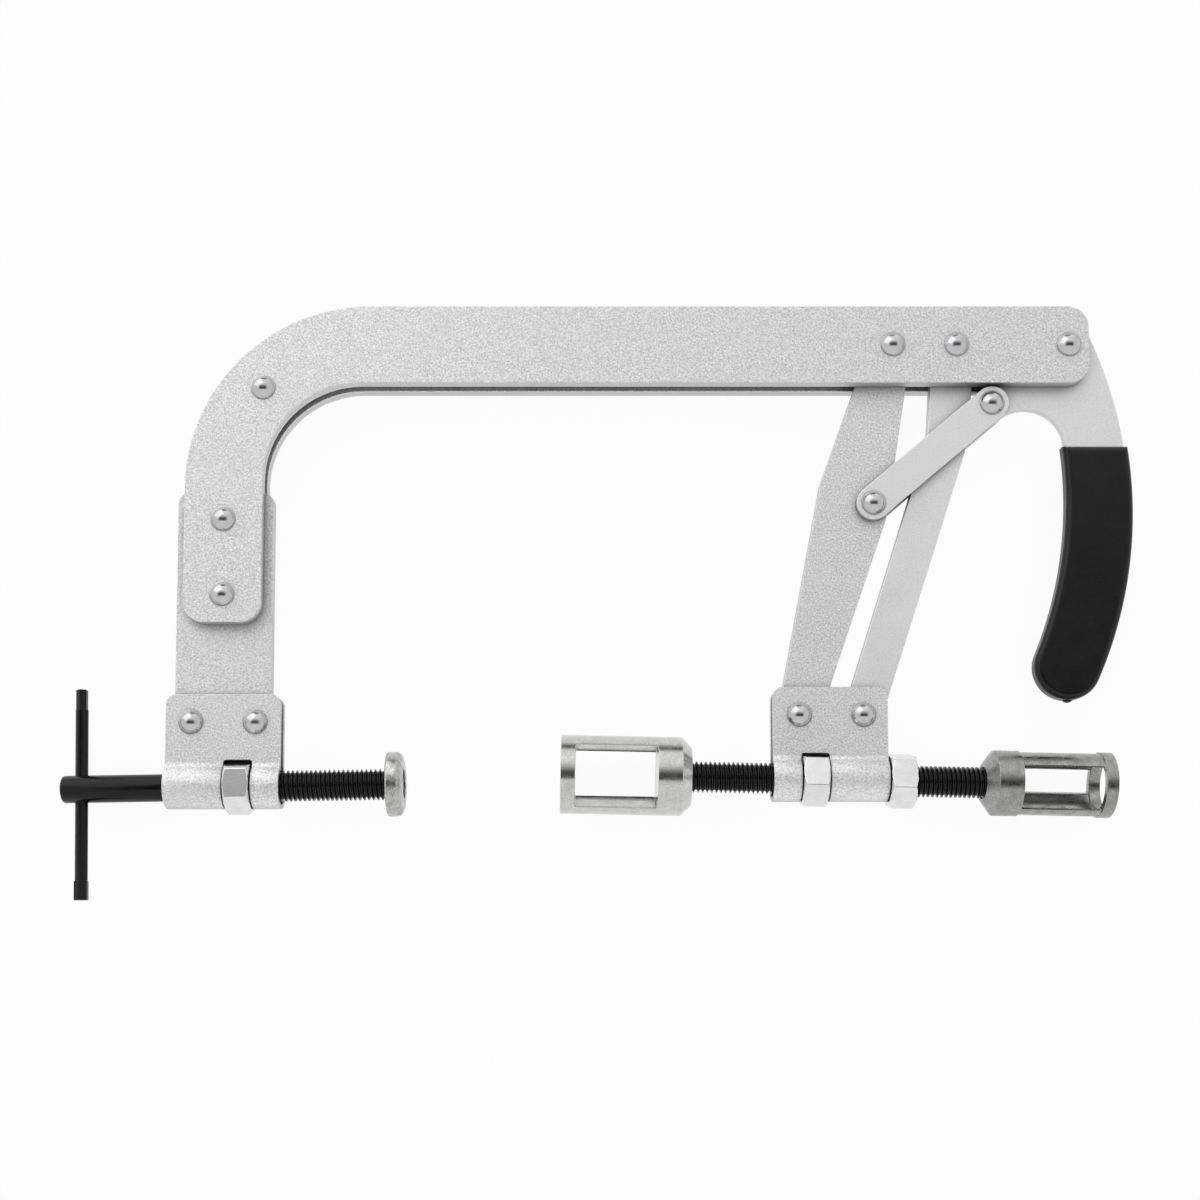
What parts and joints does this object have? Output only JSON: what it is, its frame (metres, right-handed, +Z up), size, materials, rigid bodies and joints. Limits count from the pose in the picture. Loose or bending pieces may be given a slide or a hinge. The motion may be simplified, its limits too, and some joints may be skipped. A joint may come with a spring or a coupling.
{
  "type": "valve spring compressor",
  "caption": "Riveted C-frame valve spring compressor with a screw anvil and pad, a parallel-arm jaw on a toggle handle and a reversible screw with windowed adapters.",
  "frame": {"origin": "bottom centre of the bounding box, with the tool lying flat on its side", "axes": "+X from the spindle to the handle, along the screws; +Y from the screws to the back bar; +Z up, square to the plates"},
  "size_m": [0.4096, 0.2282, 0.03],
  "materials": {
    "plate_blasted": "satin nickel over a fine blasted grain",
    "plate_smooth": "satin nickel, smooth",
    "rivet": "polished domed heads",
    "zinc_nut": "bright zinc plate",
    "zinc_pad": "dull mottled zinc plate",
    "turned_steel": "turned and milled steel with tool marks",
    "black_screw": "black oxide, semi-gloss",
    "grip_vinyl": "dipped vinyl, soft gloss"
  },
  "bodies": {
    "frame": {"frame_plate_front": "plate_blasted", "frame_plate_rear": "plate_blasted", "corner_spacer": "plate_smooth", "corner_rivet": "rivet", "leg_rivet_upper": "rivet", "leg_rivet_lower": "rivet", "leg_extension": "plate_blasted", "anvil_bracket": "plate_blasted", "anvil_rivet_outer": "rivet", "anvil_rivet_inner": "rivet", "anvil_nut": "zinc_nut", "inner_arm_pivot": "rivet", "outer_arm_pivot": "rivet", "handle_pivot": "rivet"},
    "pad": {"swivel_pad": "zinc_pad"},
    "spindle": {"spindle": "black_screw"},
    "tommy_bar": {"tommy_bar": "black_screw"},
    "handle": {"handle_plate": "plate_smooth", "handle_grip": "grip_vinyl", "link_handle_pin": "rivet"},
    "inner_arm": {"inner_arm": "plate_blasted"},
    "outer_arm": {"outer_arm": "plate_smooth"},
    "link": {"link_front": "plate_smooth", "link_rear": "plate_smooth", "link_arm_rivet": "rivet", "link_handle_rivet_front": "rivet", "link_handle_rivet_rear": "rivet"},
    "jaw": {"jaw_bracket": "plate_blasted", "jaw_rivet_inner": "rivet", "jaw_rivet_outer": "rivet", "jaw_nut": "zinc_nut"},
    "jam_nut": {"jam_nut": "zinc_nut"},
    "adapter_large": {"adapter_large": "turned_steel"},
    "rod": {"threaded_rod": "black_screw"},
    "adapter_small": {"adapter_small": "turned_steel"}
  },
  "joints": [
    {"name": "handle_swing", "type": "hinge", "parent": "frame", "child": "handle", "pos_m": [0.17989, 0.09921, 0.015], "axis": [0, 0, 1], "range_deg": [0, 65]},
    {"name": "inner_arm_swing", "type": "hinge", "parent": "frame", "child": "inner_arm", "pos_m": [0.1123, 0.09921, 0.015], "axis": [0, 0, 1], "range_deg": [-0.5, 26]},
    {"name": "outer_arm_swing", "type": "hinge", "parent": "frame", "child": "outer_arm", "pos_m": [0.1367, 0.09921, 0.015], "axis": [0, 0, 1], "range_deg": [-0.5, 26]},
    {"name": "jaw_parallel", "type": "hinge", "parent": "inner_arm", "child": "jaw", "pos_m": [0.0754, -0.04369, 0.015], "axis": [0, 0, 1], "range_deg": [-26, 0.5]},
    {"name": "link_swing", "type": "hinge", "parent": "inner_arm", "child": "link", "pos_m": [0.1045, 0.03791, 0.015], "axis": [0, 0, 1], "range_deg": [-44.5, 0.5]},
    {"name": "pad_feed", "type": "slide", "parent": "frame", "child": "pad", "axis": [0.9999, 0.0162, 0], "range_m": [-0.03675, 0.021]},
    {"name": "spindle_turn", "type": "hinge", "parent": "pad", "child": "spindle", "pos_m": [-0.1375, -0.07079, 0.015], "axis": [0.9999, 0.0162, 0], "range_deg": [-7592, 4354]},
    {"name": "tommy_slide", "type": "slide", "parent": "spindle", "child": "tommy_bar", "axis": [-0.0162, 0.9999, 0], "range_m": [-0.0245, 0.0295]},
    {"name": "rod_feed", "type": "slide", "parent": "jaw", "child": "adapter_large", "axis": [0.9998, -0.0206, 0], "range_m": [-0.0245, 0.028]},
    {"name": "rod_turn", "type": "hinge", "parent": "adapter_large", "child": "rod", "pos_m": [0.0813, -0.06799, 0.015], "axis": [0.9998, -0.0206, 0], "range_deg": [-5071, 5787]},
    {"name": "small_adapter_swivel", "type": "hinge", "parent": "rod", "child": "adapter_small", "pos_m": [0.16998, -0.06982, 0.015], "axis": [0.9998, -0.0206, 0], "continuous": true},
    {"name": "jam_nut_turn", "type": "hinge", "parent": "jaw", "child": "jam_nut", "pos_m": [0.11399, -0.06867, 0.015], "axis": [0.9998, -0.0206, 0], "continuous": true}
  ],
  "couplings": [
    {"joint": "inner_arm_swing", "follows": "handle_swing", "ratio": 0.39212},
    {"joint": "outer_arm_swing", "follows": "handle_swing", "ratio": 0.39212},
    {"joint": "jaw_parallel", "follows": "handle_swing", "ratio": -0.39212},
    {"joint": "link_swing", "follows": "handle_swing", "ratio": -0.67391},
    {"joint": "spindle_turn", "follows": "pad_feed", "rad_per_m": 3590.4},
    {"joint": "rod_turn", "follows": "rod_feed", "rad_per_m": 3590.4}
  ]
}
